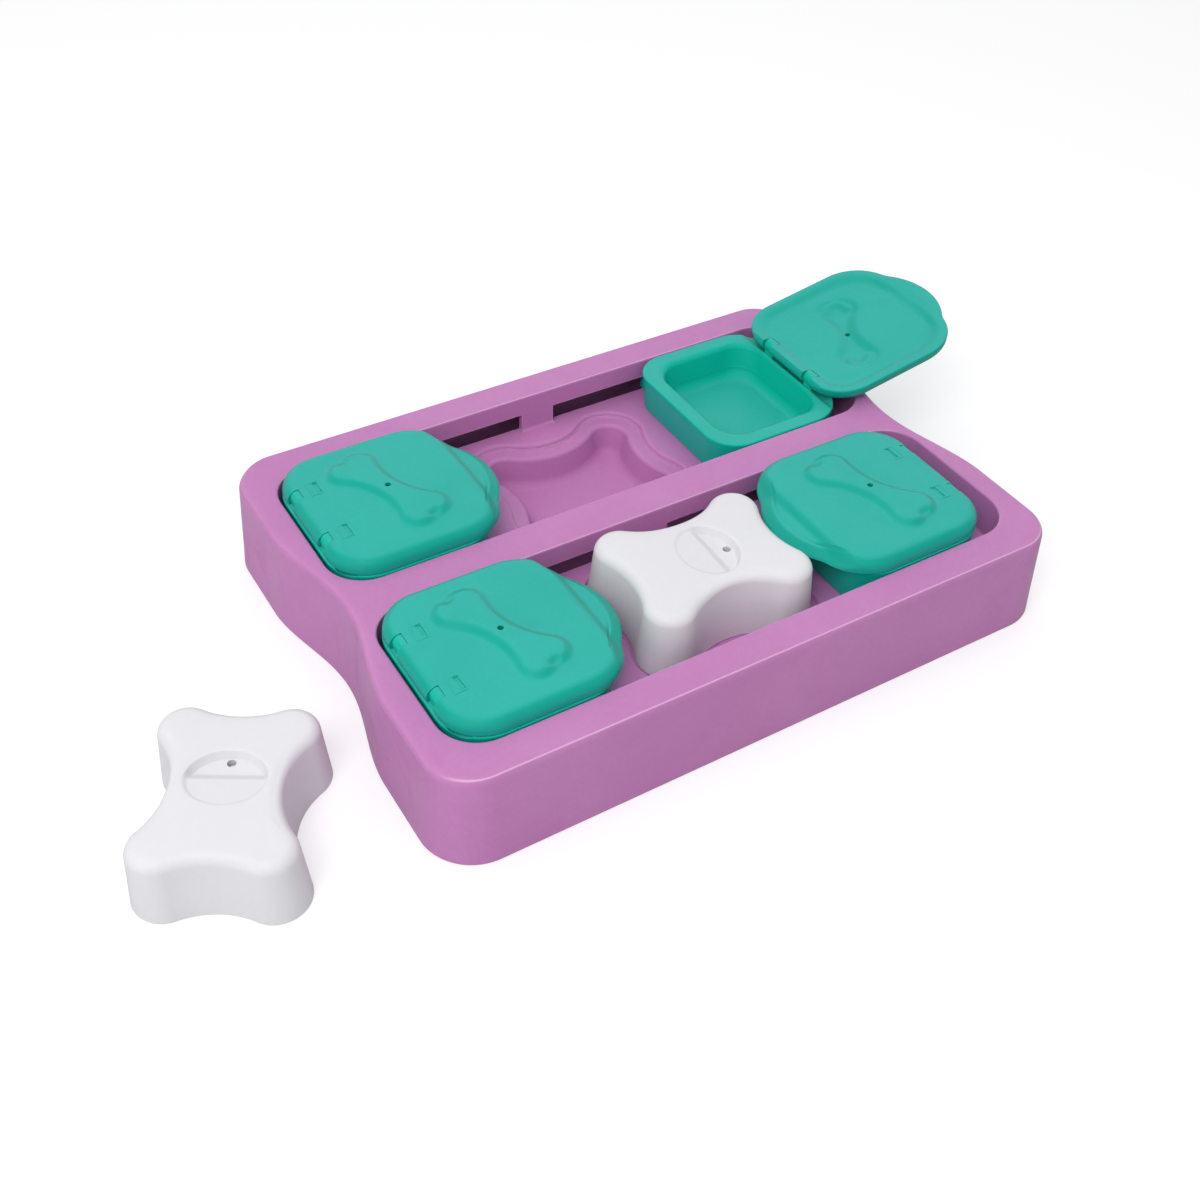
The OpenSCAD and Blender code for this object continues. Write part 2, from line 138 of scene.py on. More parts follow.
world = bpy.data.worlds.new("studio")
world.use_nodes = True
scene.world = world
air, wires = world.node_tree.nodes, world.node_tree.links
light_air = air["Background"]
light_air.inputs["Color"].default_value = (1, 1, 1, 1)
light_air.inputs["Strength"].default_value = even_strength
looking = air.new("ShaderNodeTexCoord")
toward = air.new("ShaderNodeVectorMath")
toward.operation = "DOT_PRODUCT"
toward.inputs[1].default_value = front
dim = air.new("ShaderNodeMapRange")
dim.interpolation_type = "SMOOTHSTEP"
for key, number in zip(("From Min", "From Max", "To Min", "To Max"), (-0.60, -0.05, mirror_strength, 0.0)):
    dim.inputs[key].default_value = number
wires.new(looking.outputs["Generated"], toward.inputs[0])
wires.new(toward.outputs["Value"], dim.inputs["Value"])
gloss_air = air.new("ShaderNodeBackground")
gloss_air.inputs["Color"].default_value = (0.82, 0.92, 1, 1)
wires.new(dim.outputs["Result"], gloss_air.inputs["Strength"])
print("world strength:", light_air.inputs["Strength"].default_value)

# %% Choose the world by the kind of ray
seen_air = air.new("ShaderNodeBackground")
seen_air.inputs["Color"].default_value = (1, 1, 1, 1)
path = air.new("ShaderNodeLightPath")
either = air.new("ShaderNodeMath")
either.operation = "MAXIMUM"
wires.new(path.outputs["Is Camera Ray"], either.inputs[0])
wires.new(path.outputs["Is Transmission Ray"], either.inputs[1])
shown = light_air.outputs[0]
for chooser, other in ((path.outputs["Is Glossy Ray"], gloss_air), (either.outputs[0], seen_air)):
    choose = air.new("ShaderNodeMixShader")
    wires.new(chooser, choose.inputs[0])
    wires.new(shown, choose.inputs[1])
    wires.new(other.outputs[0], choose.inputs[2])
    shown = choose.outputs[0]
wires.new(shown, air["World Output"].inputs["Surface"])
scene.view_settings.view_transform = "Standard"
print("world nodes:", len(air))

# %% [markdown]
# ## Outlines
#
# Every piece of this toy is a moulding: a closed outline that is carried up, set in and rounded. So the
# first helpers make outlines as arrays of points, counter-clockwise, out of arcs that meet in tangents.

# %% Arcs and even spacing
def arc(c, rx, ry, a, b, k):
    """k + 1 points c + (rx cos t, ry sin t), t running from a to b degrees."""
    t = np.radians(np.linspace(a, b, k + 1))
    return np.column_stack([c[0] + rx * np.cos(t), c[1] + ry * np.sin(t)])


def straight(a, b, k):
    """k points strictly between a and b."""
    t = np.linspace(0, 1, k + 2)[1:-1, None]
    return (1 - t) * np.asarray(a) + t * np.asarray(b)


def evenly(p, n):
    """A closed outline resampled to n points at equal steps of its length."""
    q = np.vstack([p, p[:1]])
    s = np.r_[0, np.cumsum(np.linalg.norm(np.diff(q, axis=0), axis=1))]
    t = np.linspace(0, s[-1], n, endpoint=False)
    return np.column_stack([np.interp(t, s, q[:, 0]), np.interp(t, s, q[:, 1])])


def inset(p, d):
    """The outline moved inwards by d, one number or one for each point: p - d * outward normal."""
    t = np.roll(p, -1, 0) - np.roll(p, 1, 0)
    normal = np.column_stack([t[:, 1], -t[:, 0]]) / np.linalg.norm(t, axis=1)[:, None]
    return p - np.reshape(d, (-1, 1)) * normal


def rounded_box(l, w, r, corner=14, side=12, extra=0.0):
    """A rounded rectangle: quarter arcs of radius r, or r + extra at the -X end, joined by straight sides."""
    arcs = []
    for q, (sx, sy) in enumerate(((1, 1), (-1, 1), (-1, -1), (1, -1))):
        k = r if sx > 0 else r + extra
        arcs.append(arc((sx * (l / 2 - k), sy * (w / 2 - k)), k, k, 90 * q, 90 * q + 90, corner))
    runs = [[a, straight(a[-1], b[0], side)] for a, b in zip(arcs, arcs[1:] + arcs[:1])]
    return np.vstack([run for pair in runs for run in pair])


print("points on a channel's outline:", len(rounded_box(310, 93, 20)))

# %% The four-lobed bone outline
def lobed(l, w, r, long_waist, short_waist, n):
    """Four lobes of radius r in the corners of l by w, joined by tangent arcs that come in by each waist."""
    a, b = l / 2, w / 2
    cs, ds, cl, dl = b - r, r - short_waist, a - r, r - long_waist
    rs = (cs * cs + ds * ds - r * r) / (2 * short_waist)
    rl = (cl * cl + dl * dl - r * r) / (2 * long_waist)
    ts, tl = math.degrees(math.atan2(cs, rs + ds)), math.degrees(math.atan2(cl, rl + dl))
    q = np.vstack([arc((a - short_waist + rs, 0), rs, rs, 180, 180 - ts, 40)[:-1],
                   arc((cl, cs), r, r, -ts, 90 + tl, 80)[:-1],
                   arc((0, b - long_waist + rl), rl, rl, tl - 90, -90, 60)])
    whole = np.vstack([q[:-1], (q * (-1, 1))[::-1][:-1], (q * (-1, -1))[:-1], (q * (1, -1))[::-1][:-1]])
    return evenly(whole, n)


print("bone block, mm:", np.ptp(lobed(93.6, 75, 15, 11, 5, 240), axis=0).round(1))

# %% [markdown]
# ## Skins
#
# A moulding's surface is then a stack of rings. The stack starts at a pole under the piece, runs outwards,
# down and round the foot, up the outside, over the rim and inwards to a pole on top. In that order every
# quad faces outwards, both poles are closed, and a hollow piece has its real wall.

# %% Turn rings into a closed mesh
def ring(p, z):
    """An outline at height z, which is one number or one for each point."""
    return np.column_stack([p, np.broadcast_to(z, len(p))])


def skin(name, rings):
    """A closed mesh through m rings of n points each: quads between rings, a fan to a pole at either end."""
    rings = np.asarray(rings, float)
    m, n = rings.shape[:2]
    a = np.arange(m * n).reshape(m, n)
    b = np.roll(a, -1, 1)
    quads = np.stack([a[:-1], b[:-1], b[1:], a[1:]], -1).reshape(-1, 4)
    under = np.column_stack([np.full(n, m * n), b[0], a[0]])
    over = np.column_stack([np.full(n, m * n + 1), a[-1], b[-1]])
    points = np.vstack([rings.reshape(-1, 3), rings[0].mean(0), rings[-1].mean(0)])
    mesh = bpy.data.meshes.new(name)
    mesh.from_pydata((points / 1000).tolist(), [], quads.tolist() + under.tolist() + over.tolist())
    obj = bpy.data.objects.new(name, mesh)
    scene.collection.objects.link(obj)
    return obj


def top_round(r, k, end=90):
    """A round top edge, as pairs of how far it has come in, r (1 - cos t), and has risen, r sin t."""
    t = np.radians(np.linspace(0, end, k + 1))
    return np.column_stack([r * (1 - np.cos(t)), r * np.sin(t)])


def foot_round(r, k):
    """A round foot, as pairs of how far it is still in, r (1 - sin t), and has risen, r (1 - cos t)."""
    t = np.radians(np.linspace(0, 90, k + 1))
    return np.column_stack([r * (1 - np.sin(t)), r * (1 - np.cos(t))])


# %% [markdown]
# Holes, slots and webs are cut with solids, as a mould's cores would leave them. A boolean is the plain way
# to do this, and it leaves clean edges because both solids are closed.

# %% Cut, add and place solids
def carve(target, tools, how="DIFFERENCE"):
    """Applies a boolean of each tool to target's mesh, then removes the tools."""
    for tool in tools:
        cut = target.modifiers.new("cut", "BOOLEAN")
        cut.object, cut.operation, cut.solver = tool, how, "EXACT"
        graph = bpy.context.evaluated_depsgraph_get()
        made = bpy.data.meshes.new_from_object(target.evaluated_get(graph))
        target.modifiers.remove(cut)
        old, target.data = target.data, made
        bpy.data.meshes.remove(old)
        bpy.data.objects.remove(tool)
    return target


def block(low, high):
    """A plain box between two corners, for cutting or for webs."""
    (x0, y0, z0), (x1, y1, z1) = low, high
    p = np.array([(x0, y0), (x1, y0), (x1, y1), (x0, y1)], float)
    return skin("tool", [ring(p, z0), ring(p, z1)])


def rod(x, y, z, r, half, k=64):
    """A round bar along Y: a circle in X and Z carried from y - half to y + half."""
    c = arc((0, 0), r, r, 0, 360, k)[:-1]
    ends = [np.column_stack([x + c[:, 0], np.full(k, y + e), z - c[:, 1]]) for e in (-half, half)]
    return skin("tool", ends)


def upright(x, y, r, z0, z1):
    """A round bar along Z: a circle in X and Y carried from z0 to z1."""
    c = arc((x, y), r, r, 0, 360, 48)[:-1]
    return skin("tool", [ring(c, z0), ring(c, z1)])


def finished(obj, body, sharp=34):
    """Smooth shading with creases only over sharp degrees, weighted so that flats stay flat."""
    obj.data.polygons.foreach_set("use_smooth", np.ones(len(obj.data.polygons), bool))
    obj.data.set_sharp_from_angle(angle=math.radians(sharp))
    flats = obj.modifiers.new("flats", "WEIGHTED_NORMAL")
    flats.keep_sharp = True
    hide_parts(body)
    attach(obj, body)
    print(obj.name, len(obj.data.polygons), "faces")
    return obj


print("shaping helpers ready")

# %% [markdown]
# ## Tray
#
# The tray is one thin moulding, hollow underneath. Its long walls are nearly upright with a tight top edge,
# and its ends are waisted in and roll over in a wide one, so the skin is set in by two amounts, one along
# each direction. Fillets at every mouth and floor are what catches the light, so they are real geometry.

# %% Tray outline
end_deck, side_deck, tray_h, tray_r = 17.5, 21.5, 51.0, 26.0
end_pinch, end_span, end_turn = 11.0, 62.0, 171
channel_l, channel_w, channel_r, channel_y = 310.0, 93.0, 20.0, 57.0
tray_l, tray_w = channel_l + 2 * end_deck, 2 * (channel_y + channel_w / 2 + side_deck)


def tray_outline(ix, iy):
    """Straight sides, quarter corners, and ends that come in by a cosine: pinch * (1 + cos(turn * v)) / 2."""
    v = np.linspace(-1, 1, 65)
    end = np.column_stack([tray_l / 2 - ix - end_pinch * (1 + np.cos(np.radians(end_turn * v))) / 2,
                           end_span * v])
    cx, cy, rx, ry = tray_l / 2 - tray_r, tray_w / 2 - tray_r, tray_r - ix, tray_r - iy
    half = np.vstack([end, arc((cx, cy), rx, ry, 0, 90, 24),
                      straight((cx, tray_w / 2 - iy), (-cx, tray_w / 2 - iy), 24),
                      arc((-cx, cy), rx, ry, 90, 180, 24)])
    return np.vstack([half, -half])


print("tray, mm:", np.ptp(tray_outline(0, 0), axis=0))

# %% Tray skin and hollow
wall, foot_r, draft = 2.6, 1.0, 3.4
roll_rise, end_roll, side_roll = 4.0, 5.0, 2.2
crown_z, roof_z = tray_h - roll_rise, tray_h - wall
lean = draft * crown_z / tray_h

foot = [ring(tray_outline(d, d), z) for d, z in foot_round(foot_r, 3)]
sides = []
for t in np.linspace(0.1, 1, 4):
    d = 0.1 + (lean - 0.1) * t
    sides.append(ring(tray_outline(d, d), foot_r + (crown_z - foot_r) * t))
crown = [ring(tray_outline(lean + end_roll * c, lean + side_roll * c), crown_z + roll_rise * s)
         for c, s in top_round(1, 10)[1:]]
tray = skin("tray_moulding", foot + sides + crown)
hollow = skin("tool", [ring(tray_outline(wall, wall), -1), ring(tray_outline(7.5, 6.0), roof_z - 4),
                       ring(tray_outline(7.8, 6.6), roof_z)])
print("tray skin rings:", len(foot + sides + crown))

# %% Outlines of the channels and of the bone block
bone_l, bone_w, lobe_r, waist_long, waist_short = 93.6, 75.0, 15.0, 11.0, 5.0


def bone_outline(d):
    """The bone block's outline set in by d; a negative d gives the pocket round it."""
    return inset(lobed(bone_l, bone_w, lobe_r, waist_long, waist_short, 240), d)


def channel_outline(d):
    """The channel's rounded rectangle set in by d."""
    return rounded_box(channel_l - 2 * d, channel_w - 2 * d, channel_r - d)


def shifted(rings, y):
    """A stack of rings moved along Y."""
    return [r + (0, y, 0) for r in rings]


print("channel, mm:", np.ptp(channel_outline(0), axis=0))

# %% Trough walls, webs and foot boss, which stay in the hollow
floor_z, ledge_z, pocket_z = 29.5, 26.5, 11.0
ledge_in, well_in = -3.2, 5.2
web_half, web_x, web_top, boss_r = 1, (82, 132), 29, 7
past_x, past_y, past_z = 180, 130, 60

kept = []
for y in (-channel_y, channel_y):
    for outline, inwards, low, high in ((channel_outline, 0, floor_z, past_z),
                                        (bone_outline, ledge_in, ledge_z, 30),
                                        (bone_outline, well_in, pocket_z, 28)):
        line = outline(inwards - wall)
        kept.append(skin("tool", shifted([ring(line, low - wall), ring(line, high)], y)))
kept.append(block((-past_x, -web_half, -2), (past_x, web_half, past_z)))
kept += [block((s * x - web_half, -past_y, 1), (s * x + web_half, past_y, web_top))
         for s in (-1, 1) for x in web_x]
kept.append(upright(0, 0, boss_r, -2, past_z))
carve(hollow, kept)
carve(tray, [hollow])
print("tray after the hollow:", len(tray.data.polygons), "faces")

# %% [markdown]
# Each channel is a cutter with a flared mouth and a filleted foot. Under the middle of it lies the stepped
# pocket: a shallow ledge that follows the bone block, and a deep well inside the ledge.

# %% Cut channels, ledges, wells and slots
def core(outline, low, high, foot, wide, narrow, mouth):
    """A cutter from z low to z high: set in by narrow at its foot fillet and by wide below its mouth."""
    base = [ring(outline(narrow + d), low + z) for d, z in foot_round(foot, 6)]
    flare = [ring(outline(wide - d), high - mouth + z) for d, z in top_round(mouth, 7, 84)]
    return base + flare + [ring(outline(wide - mouth - 0.1), high + 0.4)]


slot_y, slot_half, slot_h, slot_end, stop_half = 45.5, 4.6, 10.6, 143, 9.7
for y in (-channel_y, channel_y):
    slots = []
    for mid in (y - slot_y, y + slot_y):
        for x0, x1 in ((-slot_end, -stop_half), (stop_half, slot_end)):
            slots.append(block((x0, mid - slot_half, floor_z), (x1, mid + slot_half, floor_z + slot_h)))
    cores = [core(channel_outline, floor_z, tray_h, foot=2, wide=0, narrow=0.7, mouth=1.2),
             core(bone_outline, ledge_z, floor_z, foot=0.9, wide=ledge_in, narrow=-2.8, mouth=2.1),
             core(bone_outline, pocket_z, ledge_z, foot=6, wide=well_in, narrow=7.2, mouth=2.6)]
    carve(tray, [skin("tool", shifted(c, y)) for c in cores] + slots)
finished(tray, "tray")

# %% [markdown]
# ## Cups
#
# A cup is a shell: a bowl hung inside a skirt, joined by the flat rim that a dog's nose pushes. One stack of
# rings makes all of it, from the pole under the bowl round to the pole on the bowl's floor. The heel's trough
# is cut across the rim afterwards, and the ears and the guide lugs are added, because a mould adds them too.

# %% Cup outlines
cup_l, cup_w, cup_r, rim_z = 83.0, 91.8, 18.5, 51.0
bowl_l, bowl_w, bowl_r = 67, 75.8, 14.5
heel_gap, heel_r = 0.2, 5.4
axis_u, axis_z, ear_y, pin_r = heel_gap + heel_r, rim_z + 4.2, 18.0, 1.3


def cup_outline(d):
    """The skirt's rounded rectangle set in by d, with wider corners beside the hinge."""
    return rounded_box(cup_l - 2 * d, cup_w - 2 * d, cup_r - d, 20, 16, 4.0) + (cup_l / 2, 0)


def bowl_outline(d):
    """The bowl's rounded rectangle set in by d, whose corner radius stays."""
    return rounded_box(bowl_l - 2 * d, bowl_w - 2 * d, bowl_r, 20, 16) + (cup_l / 2, 0)


def bar(side, y, half, soft=0.3):
    """A side view (X, Z) carried along Y, with a small bevel at either end."""
    steps = [(-half, soft), (soft - half, 0), (half - soft, 0), (half, soft)]
    rings = [np.insert(inset(side, d)[::-1], 1, y + e, axis=1) for e, d in steps]
    return skin("tool", rings)


print("rim width, mm:", (cup_l - bowl_l) / 2)

# %% Cup shell
under_z, rim_r, mouth_r, mouth_in = 47, 1.0, 3.6, 2.3
bowl_deep, bowl_fillet = 9.1, 6

cup_rings = [ring(bowl_outline(d), z) for d, z in ((2.4, floor_z), (1.4, 35), (-1.2, under_z))]
cup_rings += [ring(cup_outline(d), z) for d, z in ((2.5, under_z), (4.6, floor_z), (3.2, floor_z))]
cup_rings += [ring(cup_outline(2.16 + d), floor_z + z) for d, z in foot_round(1.0, 4)[1:]]
cup_rings += [ring(cup_outline(0.05 + d), rim_z - rim_r + z) for d, z in top_round(rim_r, 5)]
cup_rings += [ring(bowl_outline(mouth_in - d), rim_z + z - mouth_r) for d, z in top_round(mouth_r, 9)[::-1]]
cup_rings += [ring(bowl_outline(mouth_in + 2.0 * t), rim_z - mouth_r - bowl_deep * t) for t in (0.3, 0.6, 1)]
cup_rings += [ring(bowl_outline(4.4 + bowl_fillet * (1 - math.cos(t))), 38.2 - bowl_fillet * math.sin(t))
              for t in np.radians(np.linspace(0, 90, 9))]
cup = skin("cup", cup_rings)
print("cup rings:", len(cup_rings))

# %% Hinge trough, ears and lugs
heel_clear, ear_r, ear_half = 0.4, 3.5, 3.5
lug_x, lug_l, lug_low, lug_high = 11.6, 14, 30.1, 35.9
lug_in, lug_out = 44.5, 51.3

carve(cup, [rod(axis_u, 0, axis_z, heel_r + heel_clear, 46.5, 96)])
ear_side = np.vstack([[(1, 48.2), (8.1, 48.2)], arc((axis_u, axis_z), ear_r, ear_r, -44, 180, 30),
                      [(2.1, 51.9), (1, 51.9)]])
lugs = [block((x, min(s * lug_in, s * lug_out), lug_low), (x + lug_l, max(s * lug_in, s * lug_out), lug_high))
        for s in (-1, 1) for x in (lug_x, cup_l - lug_x - lug_l)]
ears = [bar(ear_side, s * ear_y, ear_half) for s in (-1, 1)]
carve(cup, ears + lugs, "UNION")
print("cup:", len(cup.data.polygons), "faces")

# %% [markdown]
# ## Lids
#
# The lid's outline is a row of tangent arcs: nose, hollow neck, shoulder and heel corner. Its top is nearly
# flat with a wide soft edge, so the rings come in by a cosine at the sides, and towards the nose they blend
# into the long slope of the thumb lip. The raised bone is not another piece but a swelling of the sheet: the
# height of each point is lifted by a smooth step of how deep it lies inside the bone's outline, and the
# underside follows it.

# %% Lid outline
lid_l, lid_w, lid_r, lid_z = 100.4, 91.2, 22.0, 59.0
nose_r, neck_r, shoulder_r, shoulder_back = 38.0, 18.0, 26.0, 8.8


def lid_outline(i, n):
    """Nose, neck, shoulder and heel arcs that meet in tangents, set in by i, and by n at the nose."""
    h, r, sr, nr, kr = lid_w / 2 - i, lid_r - i, shoulder_r - i / 2, nose_r - n / 2, neck_r + n / 2
    s = np.array([lid_l - shoulder_r - shoulder_back - n * 0.35, h - sr])
    c = np.array([lid_l - n - nr, 0.0])
    d = s - c
    g = np.hypot(*d)
    turn = math.acos(((nr + kr) ** 2 + g * g - (sr + kr) ** 2) / (2 * g * (nr + kr)))
    a = math.atan2(d[1], d[0]) - turn
    k = c + (nr + kr) * np.array([math.cos(a), math.sin(a)])
    b, a = math.degrees(math.atan2(s[1] - k[1], s[0] - k[0])) % 360, math.degrees(a)
    heel = (heel_gap + i + r, h - r)
    half = np.vstack([arc(c, nr, nr, 0, a, 20), arc(k, kr, kr, a + 180, b, 12)[1:-1],
                      arc(s, sr, sr, b - 180, 90, 18), straight((s[0], h), (heel[0], h), 16),
                      arc(heel, r, r, 90, 180, 18), straight((heel[0] - r, heel[1]), (heel[0] - r, 0), 14)])
    end = np.array([[heel[0] - r, 0.0]])
    return np.vstack([half, end, (half[1:] * (1, -1))[::-1]])


print("lid, mm:", np.ptp(lid_outline(0, 0), axis=0).round(1))

# %% How deep a point lies inside an outline
def depth_inside(p, outline):
    """Least distance from each point to the outline's edges, positive inside by the crossing rule."""
    a, b = outline, np.roll(outline, -1, 0)
    e = b - a
    w = p[:, None] - a
    t = np.clip((w * e).sum(2) / (e * e).sum(1), 0, 1)
    far = np.linalg.norm(w - t[..., None] * e, axis=2).min(1)
    x, y = p[:, :1], p[:, 1:]
    rise = np.where(e[:, 1] == 0, 1e-9, e[:, 1])
    crossed = ((a[:, 1] > y) != (b[:, 1] > y)) & (x < e[:, 0] * (y - a[:, 1]) / rise + a[:, 0])
    return np.where(crossed.sum(1) % 2 == 1, far, -far)


def smooth_step(t):
    """0 below 0, 1 above 1, and 3 t^2 - 2 t^3 between."""
    t = np.clip(t, 0, 1)
    return t * t * (3 - 2 * t)


emboss_mid, emboss_turn = (44.3, 0.0), 112


def raised_bone(l, w):
    """The small bone's outline, turned by emboss_turn degrees and set at emboss_mid."""
    p, t = lobed(l, w, 9, 6.6, 2.2, 160), math.radians(emboss_turn)
    return p @ np.array([(math.cos(t), math.sin(t)), (-math.sin(t), math.cos(t))]) + emboss_mid


print("raised bone, mm:", np.ptp(raised_bone(66, 28), axis=0).round(1))

# %% Shape the lid's sheet
lip_from, lip_run, lip_flat = 82.5, 6.5, 86


def fill(outline, middle, k):
    """k outlines that shrink evenly from outline towards middle, the last still open for the pole."""
    s = np.linspace(1, 0, k + 1)[:-1, None, None]
    return np.asarray(middle) + s * (outline - middle)


def swell(p, z, l, w, height, slope):
    """z plus height times a smooth step of depth inside a raised bone of l by w, over its slope's width."""
    return z + height * smooth_step((depth_inside(p, raised_bone(l, w)) + 0.3 * slope) / slope)


def lip(x, drop):
    """The lip's depth below the lid at x: drop times a soft step over lip_run and a slope past lip_flat."""
    return drop * (smooth_step((x - lip_from) / lip_run) + 0.05 * np.maximum(x - lip_flat, 0))


print("lip's drop at the nose, mm:", lip(lid_l, 2.5).round(1))

# %% Lid underside
sheet_z, under_drop, under_wall = 53.3, 1.2, 2.4
under_bone = (60, 23, 2.4, 8)
ceiling = fill(lid_outline(10.4, 13), emboss_mid, 44)[::-1]
under = [ring(p, swell(p, sheet_z - lip(p[:, 0], under_drop), *under_bone)) for p in ceiling]
for t in np.linspace(0.92, 0, 12):
    p = lid_outline(under_wall + 8 * t, under_wall + 10.6 * t)
    under.append(ring(p, rim_z + (sheet_z - rim_z - lip(p[:, 0], under_drop)) * smooth_step(t)))
print("rings under the lid:", len(under))

# %% [markdown]
# Each ring of the soft edge is worked out twice: as it would run round a plain lid, and as it would run along
# the nose's skirt, whose profile is a short row of points (share of the way, how far in, height). The ring
# passes from the first to the second between x = 80 and x = 90.

# %% Lid edge, top and whole skin
hem_r, edge_in, edge_rise, crown_rise, top_drop = 0.8, 6.4, 5.6, 1.1, 2.5
top_bone = (66, 28, 2.6, 6.2)
skirt = np.array([(0, 0.2, 52.0), (0.12, 0.5, 52.5), (0.70, 4.6, 55.1), (0.84, 5.4, 55.5), (1, 6.53, 55.6)]).T
edge = [ring(lid_outline(d, d), rim_z + z) for d, z in foot_round(hem_r, 3)]
for t in np.linspace(0, 1, 19):
    a = math.radians(84 * t)
    d, z = 0.2 + edge_in * (1 - math.cos(a)), lid_z + edge_rise * (math.sin(a) - 1)
    dn, zn = np.interp(t, *skirt[:2]), np.interp(t, *skirt[::2])
    p, q = lid_outline(d, d), lid_outline(dn, dn)
    w = smooth_step((p[:, :1] - 80) / 10)
    edge.append(ring(p + (q - p) * w, z + (zn - z) * w[:, 0]))
rim_line = edge[-1][:, :2]
top = [ring(p, swell(p, lid_z + crown_rise * (1 - s * s) - lip(p[:, 0], top_drop), *top_bone))
       for p, s in zip(fill(rim_line, emboss_mid, 66)[1:], np.linspace(1, 0, 67)[1:-1])]
lid = skin("lid", under + edge + top)
print("lid rings:", len(under + edge + top))

# %% [markdown]
# The heel is what the lid turns on, so everything behind the hinge axis is trimmed to a round bar. Slots
# beside it let the cup's ears through, and next to each is the small window through which the mould forms
# the pin, with its C-shaped frame.

# %% Heel, ear slots, windows and pins
below, above, gap_half, window_half = 50, 66, 3.7, 4.1
leg_half, leg_y, frame_half, pin_half = 0.35, 4.75, 5.1, 5

behind = block((-1, -46.5, below), (axis_u, 46.5, above))
carve(behind, [rod(axis_u, 0, axis_z, heel_r, 48, 96)])
cuts = [behind, upright(*emboss_mid, 1.5, below, above)]
for y in (-ear_y, ear_y):
    cuts.append(block((-1, y - gap_half, below), (8.4, y + gap_half, axis_z)))
    cuts.append(rod(axis_u, y, axis_z, ear_r + 0.15, gap_half))
    cuts.append(block((-1, y - gap_half, 55), (axis_u, y + gap_half, 57.5)))
    cuts.append(block((-1, y - gap_half, 57.4), (6.6, y + gap_half, above)))
    cuts.append(block((13.6, y - window_half, 58.85), (16.0, y + window_half, above)))
carve(lid, cuts)
leg = np.array([(10.4, 58), (16.4, 58), (16.4, 59.75), (13.6, 59.65), (10.4, 59.35)])
frames = []
for y in (-ear_y, ear_y):
    frames.append(block((10.3, y - frame_half, 58), (11.1, y + frame_half, 59.4)))
    frames += [bar(leg, y + e * leg_y, leg_half, 0.1) for e in (-1, 1)]
    frames.append(rod(axis_u, y, axis_z, pin_r, pin_half))
carve(lid, frames, "UNION")
print("lid:", len(lid.data.polygons), "faces")

# %% [markdown]
# All four cups are one moulding, and so are the lids. Each copy's place goes into its mesh: a left one
# stands at the channel's left end, a right one is turned half round, and the open lid is first swung about
# its pins.

# %% Place the four cups and lids
left_x, right_x, open_angle = -153.8, 141.8346, 170


def stood(side, row, swing=0.0):
    """The matrix that takes a cup's own frame to its place; swing turns it about the hinge axis first."""
    pivot = Matrix.Translation((axis_u / 1000, 0, axis_z / 1000))
    turned = pivot @ Matrix.Rotation(math.radians(-swing), 4, "Y") @ pivot.inverted()
    spin = Matrix.Rotation(math.pi if side == "right" else 0, 4, "Z")
    x, y = (left_x if side == "left" else right_x), (channel_y if row == "back" else -channel_y)
    return Matrix.Translation((x / 1000, y / 1000, 0)) @ spin @ turned


def copy_of(source, name, matrix):
    """A new object with its own copy of source's mesh, moved by matrix."""
    mesh = source.data.copy()
    mesh.transform(matrix)
    obj = bpy.data.objects.new(name, mesh)
    scene.collection.objects.link(obj)
    return obj


cups, lids = [], []
for row in ("back", "front"):
    for side in ("left", "right"):
        body = f"{row}_{side}"
        swing = open_angle if body == "back_right" else 0
        cups.append(finished(copy_of(cup, f"{body}_cup_moulding", stood(side, row)), f"{body}_cup"))
        lids.append(finished(copy_of(lid, f"{body}_lid_moulding", stood(side, row, swing)), f"{body}_lid"))
for source in (cup, lid):
    bpy.data.objects.remove(source)
print("cups and lids:", len(cups) + len(lids))

# %% [markdown]
# ## Bone blocks
#
# A block is a hollow moulding with four lobes. Its top edge is wide at the lobes and tight at the long
# sides' waists, so its radius is a function of where the point is. The top then morphs from the bone's
# outline to the finger dish's oval, point by point along rays from the dish's middle, and the dish itself is
# a height: a nearly flat half, a soft crease, and a deeper half with the vent hole.

# %% Bone block skin
bone_h, crown_h, dish_mid = 34.4, 0.5, np.array([2.0, 0.0])
lobe_edge, waist_edge = 5.6, 3.3
body_line = lobed(bone_l, bone_w, lobe_r, waist_long, waist_short, 360)
edge_r = lobe_edge - (lobe_edge - waist_edge) * np.exp(-(body_line[:, 0] / 15) ** 2)


def oval_on_rays(l, w):
    """The oval's points on the rays from the dish's middle through the body's outline."""
    d = body_line - dish_mid
    d = d / np.linalg.norm(d, axis=1)[:, None]
    return dish_mid + d / np.sqrt((d[:, :1] / (w / 2)) ** 2 + (d[:, 1:] / (l / 2)) ** 2)


def dish_floor(x):
    """Depth of the dish along the block: nearly level, a crease, a steep band, then the deep flat half."""
    u = np.linspace(-24, 24, 481)
    z = np.interp(u, [-24, -16, 0.4, 4.6, 24], [-0.25, -0.3, -1.5, -4.3, -4.6])
    z = np.convolve(np.pad(z, 7, "edge"), np.ones(15) / 15, "valid")
    return np.interp(x - dish_mid[0], u, z)


print("edge radius, mm:", edge_r.min().round(1), "to", edge_r.max().round(1))

# %% Bone block mesh
bone_wall, bone_foot, bone_draft, roof = 2.6, 0.7, 2.9, 31.6
vent_x, vent_r = 11.2, 2.0

